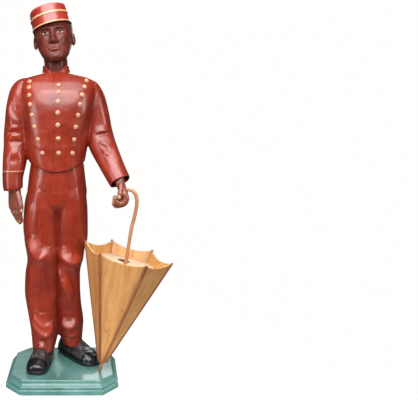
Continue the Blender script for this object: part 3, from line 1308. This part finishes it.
def outline(out):
    """The eight corners moved out, each replaced by a short curve through points just before and after."""
    x, y = PLINTH_WIDTH / 2 + out, PLINTH_DEPTH / 2 + out
    cut = PLINTH_CORNER + out * (2 - math.sqrt(2))
    corners = np.array((
        (x, -y + cut), (x, y - cut), (x - cut, y), (-x + cut, y),
        (-x, y - cut), (-x, -y + cut), (-x + cut, -y), (x - cut, -y),
    ))
    points = []
    for before, corner, after in zip(np.roll(corners, 1, 0), corners, np.roll(corners, -1, 0), strict=True):
        start, end = (corner + unit(other - corner) * CORNER_EASE for other in (before, after))
        for t in np.linspace(0, 1, 6):
            points.append((1 - t) ** 2 * start + 2 * t * (1 - t) * corner + t * t * end)
    return np.array(points)


def plinth_paint():
    """Green gloss paint: brushed along the sides, lighter where an edge is rubbed, brown where worn through."""
    where, finish = paint("plinth_paint", Coat_Weight=0.6, Coat_Roughness=0.1)
    edge = where.kept("edge")
    strokes = where.stretched((14.0, 14.0, 90.0)).noise(1.0, 5.0, 0.6)
    chips = edge * where.noise(75.0, 4.0).between(0.66, 0.72)
    body = where.noise(7.0, 4.0).between(0.3, 0.7).blend("46756E", "5B8A83").under(
        (strokes.between(0.4, 0.75) * 0.35, "7AA8A4"),
        (edge * where.noise(30.0, 5.0).between(0.35, 0.6) * 0.5, "A8CDC3"), (chips * 0.8, "7A5A3C"),
    )
    gloss = 0.24 + strokes * 0.14 + chips * 0.3
    return finish(Base_Color=body, Roughness=gloss, bump=strokes - chips, bump_depth=0.0008)


def make_plinth():
    """The profile's rows: the outline moved out by a share of the spread, at a share of the height."""
    rings = []
    for spread, share in smooth_rows(PLINTH_PROFILE, 3):
        flat = outline(spread * PLINTH_SPREAD)
        rings.append(np.column_stack((flat, np.full(len(flat), share * PLINTH_HEIGHT))))
    points, faces = ring_shell(np.array(rings) * MM)
    mesh = shell_mesh("plinth_piece", (points, faces))
    share = points[:, 2] / MM / PLINTH_HEIGHT
    keep_value(mesh, "edge", np.max([hump(share, at, 0.022) for at in RUBBED_SHARES], axis=0))
    put("plinth_piece", mesh, plinth_paint(), 35, ["plinth"])


make_plinth()

# %% [markdown]
# ## Umbrella
# Six tapering boards meet at the ferrule and open like a half-closed umbrella. Their tops are cut to a hollow
# curve, and a batten covers every joint. Grain follows each board, so every point keeps where it is across
# and along its own board, and the wood's noise is stretched along that.

# %% Umbrella frame
UMBRELLA_LEAN = math.radians(12.4)
UMBRELLA_TURN = math.radians(-12.0)
UMBRELLA_LENGTH = 0.555
UMBRELLA_RADIUS = 0.191
UMBRELLA_SIDES = 6
PANEL_THICKNESS = 0.008
SCALLOP_DEPTH = 0.017
RIB_WIDTH = 0.013
RIB_THICKNESS = 0.004
RIB_OVERHANG = 0.004
PLATE_THICKNESS = 0.008
PLATE_DROP = 0.052
HOLE_RADIUS = 0.0275
HOLE_RING_RADIUS = 0.060
HOLE_COUNT = 3
SHAFT_RADIUS = 0.0075
TIP = np.array((0.165, -0.091, SOLES))
AXIS = np.array((math.sin(UMBRELLA_LEAN), 0, math.cos(UMBRELLA_LEAN)))
ACROSS = np.array((math.cos(UMBRELLA_LEAN), 0, -math.sin(UMBRELLA_LEAN)))
BACK = np.array((0, 1.0, 0))
SEAM_STEP = 2 * math.pi / UMBRELLA_SIDES
FLAT_SHARE = math.cos(SEAM_STEP / 2)
PANEL_SLOPE = math.atan2(UMBRELLA_RADIUS * FLAT_SHARE, UMBRELLA_LENGTH)
WALL_ACROSS = PANEL_THICKNESS / math.cos(PANEL_SLOPE)
PANEL_FOOT = (SHAFT_RADIUS + WALL_ACROSS) / FLAT_SHARE * UMBRELLA_LENGTH / UMBRELLA_RADIUS


def radial(angle):
    """The direction out of the umbrella's axis at that angle."""
    return math.cos(angle) * ACROSS + math.sin(angle) * BACK


def seam_radius(height, inset=0.0):
    """A seam's distance from the axis: it grows evenly with height, less the inset of the wall."""
    return UMBRELLA_RADIUS * height / UMBRELLA_LENGTH - inset / FLAT_SHARE


def seam_point(height, k, inset=0.0):
    """A point on seam k, for one height or an array of them."""
    height = np.asarray(height, float)[..., None]
    return TIP + height * AXIS + seam_radius(height, inset) * radial(UMBRELLA_TURN + k * SEAM_STEP)


def put_wood(name, mesh, grain, dirt, material, smooth_under, stands_for):
    """A piece in one of the woods, with where each point is in its grain and how dirty it is."""
    keep_value(mesh, "grain", grain)
    keep_value(mesh, "dirt", dirt)
    put(name, mesh, material, smooth_under, stands_for)


def numbered(node):
    """The names of the six nodes of that kind."""
    return [f"{node}_{k + 1}" for k in range(UMBRELLA_SIDES)]


def with_ends(rings):
    """Values on rings in the order of a shell's points, with the means of the two end rings last."""
    return np.vstack((rings.reshape(-1, rings.shape[-1]), rings[0].mean(0), rings[-1].mean(0)))


# %% Wood
def wood_paint(name, dark, light, streak, worn, knots=False, gloss=0.4, coat=0.25):
    """Varnished wood. Grain is noise drawn out along the board; pin knots are cells of a Voronoi pattern."""
    where, finish = paint(name, Coat_Weight=coat, Coat_Roughness=0.15)
    grain = where.kept("grain", output=1)
    fine = grain.stretched((0.55, 0.012, 1.0)).noise(1.0, 5.0, 0.6, 0.2)
    broad = grain.stretched((0.05, 0.0035, 1.0)).noise(1.0, 3.0, 0.5, 0.6)
    pores = grain.stretched((1.6, 0.05, 1.0)).noise(1.0, 2.0, 0.5)
    clouds = where.noise(11.0, 4.0)
    body = broad.between(0.3, 0.7).blend(dark, light).under(
        (fine.between(0.45, 0.75) * 0.55, streak), (clouds.between(0.5, 0.8) * 0.35, worn),
        (pores.between(0.62, 0.74) * 0.35, streak),
    )
    height = fine * 0.6 + pores * 0.4
    if knots:
        knotted = grain.stretched((0.02, 0.011, 0.37))
        cells = where.node("TexVoronoi", {"feature": "F1"}, Vector=knotted, Scale=1.0)
        spot = cells.between(0.10, 0.045)
        body = (spot * 0.75).blend(body, "5A3016")
        height = height - spot * 0.5
    body = (where.kept("dirt") * (0.35 + clouds * 0.5)).blend(body, "5E3A1E")
    return finish(Base_Color=body, Roughness=gloss + clouds * 0.2 + fine * 0.08, bump=height, bump_depth=0.0005)


BOARD_WOOD = wood_paint("board_wood", "C88846", "DCA462", "A0662F", "E6BA82", knots=True)
RIB_WOOD = wood_paint("rib_wood", "8A4E2C", "A9663C", "5E2F18", "B98054")
PLATE_WOOD = wood_paint("plate_wood", "DDBB96", "EBD3B2", "C49A70", "F0DDC2", gloss=0.5, coat=0.1)
CANE_WOOD = wood_paint("cane_wood", "A86A44", "CC9068", "804628", "DDAE88", gloss=0.3, coat=0.5)

# %% Boards
BOARD_COLUMNS, BOARD_ROWS = 41, 60
RIM_EASE = 0.0012


def board_shell(k):
    """One board as a closed skin: a loop over its outer face, top edge, inner face and foot, swept across."""
    share = np.linspace(0, 1, BOARD_COLUMNS)
    top = UMBRELLA_LENGTH - SCALLOP_DEPTH * (1 - (2 * share - 1) ** 2)
    heights = PANEL_FOOT + (top[:, None] - PANEL_FOOT) * np.linspace(0, 1, BOARD_ROWS)[None, :]

    def face(inset):
        left, right = seam_point(heights, k, inset), seam_point(heights, k + 1, inset)
        return left + (right - left) * np.clip(share, 0.0015, 0.9985)[:, None, None]

    outer, inner = face(0.0), face(WALL_ACROSS)
    rim = (outer[:, -1:] * 0.5 + inner[:, -1:] * 0.5) + RIM_EASE * AXIS
    outer[:, -1] -= RIM_EASE * AXIS * 0.2
    width = np.linalg.norm(outer[-1, -1] - outer[0, -1])
    across = (share[:, None] - 0.5) * width * (heights / UMBRELLA_LENGTH) / MM
    grain = np.stack((across, heights / MM, np.full_like(across, 37.0 * k)), -1)
    near_seam = hump(np.abs(share - 0.5), 0.5, 0.014 / width)
    dirt = np.clip(near_seam[:, None] * 0.9 + ramp(heights, 0.12, -0.12), 0, 1)[..., None]
    stacks = (
        (outer, rim, inner[:, ::-1]), (grain, grain[:, -1:], grain[:, ::-1] + (0, 0, 13.0)),
        (dirt, dirt[:, -1:] * 0.3, dirt[:, ::-1] * 0.6),
    )
    loops, grain, dirt = (np.concatenate(stack, axis=1)[:, ::-1] for stack in stacks)
    return ring_shell(loops), with_ends(grain), np.append(dirt, (0.5, 0.5))


def make_boards():
    """Six boards round the axis as one piece."""
    shells, grains, dirts = zip(*(board_shell(k) for k in range(UMBRELLA_SIDES)), strict=True)
    mesh = shell_mesh("umbrella_boards", *shells)
    grain, dirt = np.vstack(grains), np.concatenate(dirts)
    nodes = numbered("umbrella_panel")
    put_wood("umbrella_boards", mesh, grain, dirt, BOARD_WOOD, 30, nodes)


make_boards()


# %% Battens
def batten_shell(k):
    """A batten over seam k: a hollow back that fits the two boards and a half-round front."""
    half = RIB_WIDTH / 2
    back = half / math.tan(SEAM_STEP)
    turn = np.linspace(-np.pi / 2, np.pi / 2, 15)
    rise = np.cos(turn) ** 0.7 * RIB_THICKNESS * 1.1 - back * np.abs(np.sin(turn)) ** 1.6
    profile = np.vstack(((0.0003, 0.0), np.stack((rise, half * np.sin(turn)), 1)[::-1]))
    angle = UMBRELLA_TURN + k * SEAM_STEP
    out, side = radial(angle), radial(angle + math.pi / 2)
    loops = []
    for height in np.linspace(PANEL_FOOT, UMBRELLA_LENGTH + RIB_OVERHANG, 60):
        middle = seam_point(height, k)
        narrow = min(1.0, seam_radius(height) * math.tan(SEAM_STEP / 2) * 0.84 / half)
        loops.append([middle + out * a * (narrow if a < 0 else 1) + side * b * narrow for a, b in profile])
    local = np.array(loops) - TIP
    grain = np.stack(((local @ side) / MM, (local @ AXIS) / MM, np.full(local.shape[:2], 11.0 * k)), -1)
    return ring_shell(loops), with_ends(grain)


def make_battens():
    """Six battens as one piece, dirtier towards the foot."""
    shells, grains = zip(*(batten_shell(k) for k in range(UMBRELLA_SIDES)), strict=True)
    mesh = shell_mesh("umbrella_battens", *shells)
    grain = np.vstack(grains)
    dirt, nodes = ramp(grain[:, 1], 120, -120), numbered("umbrella_rib")
    put_wood("umbrella_battens", mesh, grain, dirt, RIB_WOOD, 40, nodes)


make_battens()


# %% Plate
def make_plate():
    """A six-sided board drilled for the shaft and three sticks, its edges eased by a narrow bevel."""
    top = UMBRELLA_LENGTH - PLATE_DROP
    low = top - PLATE_THICKNESS
    inset, seams = WALL_ACROSS + 0.0004, range(UMBRELLA_SIDES)
    rings = [[seam_point(height, k, inset) for k in seams] for height in (low, top)]
    board = linked("plate_rough", shell_mesh("plate_rough", ring_shell(rings)))
    holes = [(0.0, 0.0, SHAFT_RADIUS + 0.0006)]
    for angle in math.pi / 2 + around(HOLE_COUNT):
        holes.append((HOLE_RING_RADIUS * math.cos(angle), HOLE_RING_RADIUS * math.sin(angle), HOLE_RADIUS))
    cutters = []
    for x, y, radius in holes:
        turn = around(72)[:, None]
        circle = TIP + x * ACROSS + y * BACK + radius * (np.cos(turn) * ACROSS + np.sin(turn) * BACK)
        drill = ring_shell([circle + height * AXIS for height in (low - 0.01, top + 0.01)])
        cutters.append(linked("cutter", shell_mesh("cutter", drill)))
        cut = board.modifiers.new("drill", "BOOLEAN")
        cut.operation, cut.solver, cut.object = "DIFFERENCE", "EXACT", cutters[-1]
    ease = board.modifiers.new("ease", "BEVEL")
    ease.width, ease.segments, ease.limit_method, ease.angle_limit = 0.0008, 2, "ANGLE", math.radians(40)
    mesh = applied(board, "umbrella_board_plate")
    for cutter in cutters:
        bpy.data.objects.remove(cutter, do_unlink=True)
    back, across, up = ((mesh_points(mesh)[0] - TIP) @ way for way in (BACK, ACROSS, AXIS))
    edges = [ramp(np.hypot(across - x, back - y), radius, 0.004) for x, y, radius in holes]
    dirt = 2 * (1 - np.min(edges, axis=0)) * (up < top - 0.0009)
    grain = np.stack((back, across, up), 1) / MM
    put_wood("umbrella_board_plate", mesh, grain, dirt, PLATE_WOOD, 30, ["umbrella_plate"])


make_plate()

# %% [markdown]
# ## Shaft and handle
# The shaft stands on the plinth, passes up through the plate and bends into a crook, which the fist holds.

# %% Shaft
HANDLE_STRAIGHT = 0.030
# The bend, then the part inside the fist.
HANDLE_PATH = (
    (297, -97, 645), (309, -103, 700), (317, -108, 752), (314, -110, 790), (296, -108, 812),
    (272, -101, 814), (254, -92, 798), (246, -88, 782),
)
SHAFT_SIDES = 24
DOME_STEPS = 4


def make_shaft():
    """A tube on a path: straight up the axis, then the handle's curve. Its radius wavers by 3 per cent."""
    straight = UMBRELLA_LENGTH - PLATE_DROP + HANDLE_STRAIGHT
    bend = smooth_rows([TIP + straight * AXIS, *on_plinth(HANDLE_PATH)], 14)
    path = np.vstack((TIP + np.linspace(0.003, straight, 60)[:-1, None] * AXIS, bend))
    run = travel(path)
    knobbly = 1 + 0.03 * np.sin(run * 60) * np.sin(run * 23)
    radii = SHAFT_RADIUS * knobbly * np.interp(run, (0, 0.02), (0.8, 1))
    rings = domed(tube(path, radii, SHAFT_SIDES), 0.0025, 0.004, DOME_STEPS)
    points, faces = ring_shell(rings)
    length = np.concatenate((np.zeros(DOME_STEPS), run, np.full(DOME_STEPS, run[-1]))) / MM
    turn = np.arange(SHAFT_SIDES) / SHAFT_SIDES * 47
    grain = np.stack((*np.meshgrid(turn, length), np.zeros((len(rings), SHAFT_SIDES))), -1).reshape(-1, 3)
    grain = np.vstack((grain, grain[0], grain[-1]))
    dirt = ramp(points[:, 2], SOLES + 0.06, -0.06)
    mesh = shell_mesh("umbrella_cane", (points, faces))
    put_wood("umbrella_cane", mesh, grain, dirt, CANE_WOOD, 60, ["umbrella_shaft"])


make_shaft()

# %% [markdown]
# ## Studio
# A round pale floor fades out into plain white air, so there is no horizon from any side. Only the camera
# sees the air white; to the paint it is dim, which keeps the reds deep, and the floor isn't mirrored in it.
# Two broad soft panels, one in front and above and one overhead, lay the wide highlights. A small soft light
# on each side lifts the boards and the legs, and one behind draws the edges.

# %% Light and floor
FLOOR_RADIUS = 1.3
FLOOR_SOLID = 0.28
CAMERA_AIR = 1.0
PAINT_AIR = 0.06
# Name, place, target, size across and up, watts.
PANELS = (
    ("sky_panel", (-0.1, -2.4, 2.55), (0.0, 0.0, 0.95), (4.2, 2.2), 122),
    ("ceiling_panel", (-0.1, -0.9, 3.1), (0.0, 0.0, 1.2), (3.2, 2.0), 50),
    ("window_left", (-2.0, -1.6, 0.9), (0.1, 0.0, 0.5), (0.6, 1.6), 15),
    ("window_right", (2.4, -1.6, 1.3), (0.25, 0.0, 0.5), (0.8, 1.6), 20),
    ("lamp_behind", (0.3, 2.6, 2.4), (0.0, 0.0, 0.9), (2.6, 1.8), 48),
)


def make_panels():
    """Elliptical soft lights, each turned from its place to its target."""
    for name, place, target, size, watts in PANELS:
        lamp = bpy.data.lights.new(name, "AREA")
        lamp.shape = "ELLIPSE"
        lamp.size, lamp.size_y = size
        lamp.energy = watts
        panel = linked(name, lamp)
        panel.location = place
        panel.rotation_euler = (Vector(target) - Vector(place)).to_track_quat("-Z", "Y").to_euler()


def make_floor():
    """A disc whose cover is 1 near the middle and falls smoothly to 0 at its rim."""
    glow = {"Emission_Color": (1.0, 0.99, 0.98, 1.0), "Emission_Strength": 0.8}
    where, finish = paint(
        "studio_floor", Base_Color=(0.5, 0.5, 0.49, 1.0), Roughness=0.9, Specular_IOR_Level=0.1, **glow
    )
    x, y, _ = where.axes()
    cover = (x * x + y * y).power(0.5).between(FLOOR_RADIUS * 0.97, FLOOR_SOLID)
    turn = around(96)
    rim = np.stack((FLOOR_RADIUS * np.cos(turn), FLOOR_RADIUS * np.sin(turn), np.full(96, -0.0005)), 1)
    mesh = bpy.data.meshes.new("studio_floor")
    mesh.from_pydata(rim.tolist(), [], [list(range(96))])
    mesh.materials.append(finish(Alpha=cover))
    floor = linked("studio_floor", mesh)
    floor.visible_glossy = False


def make_air():
    """White where the camera looks, dim for every other ray."""
    world = bpy.data.worlds.new("studio_air")
    world.use_nodes = True
    tree = world.node_tree
    air = tree.nodes["Background"].inputs
    air["Color"].default_value = (1.0, 0.995, 0.985, 1.0)
    seen = Wire(tree, tree.nodes.new("ShaderNodeLightPath").outputs["Is Camera Ray"])
    tree.links.new((seen * (CAMERA_AIR - PAINT_AIR) + PAINT_AIR).socket, air["Strength"])
    SCENE.world = world


make_floor()
make_air()
make_panels()
SCENE.view_settings.view_transform = "Standard"
print("lights ready")
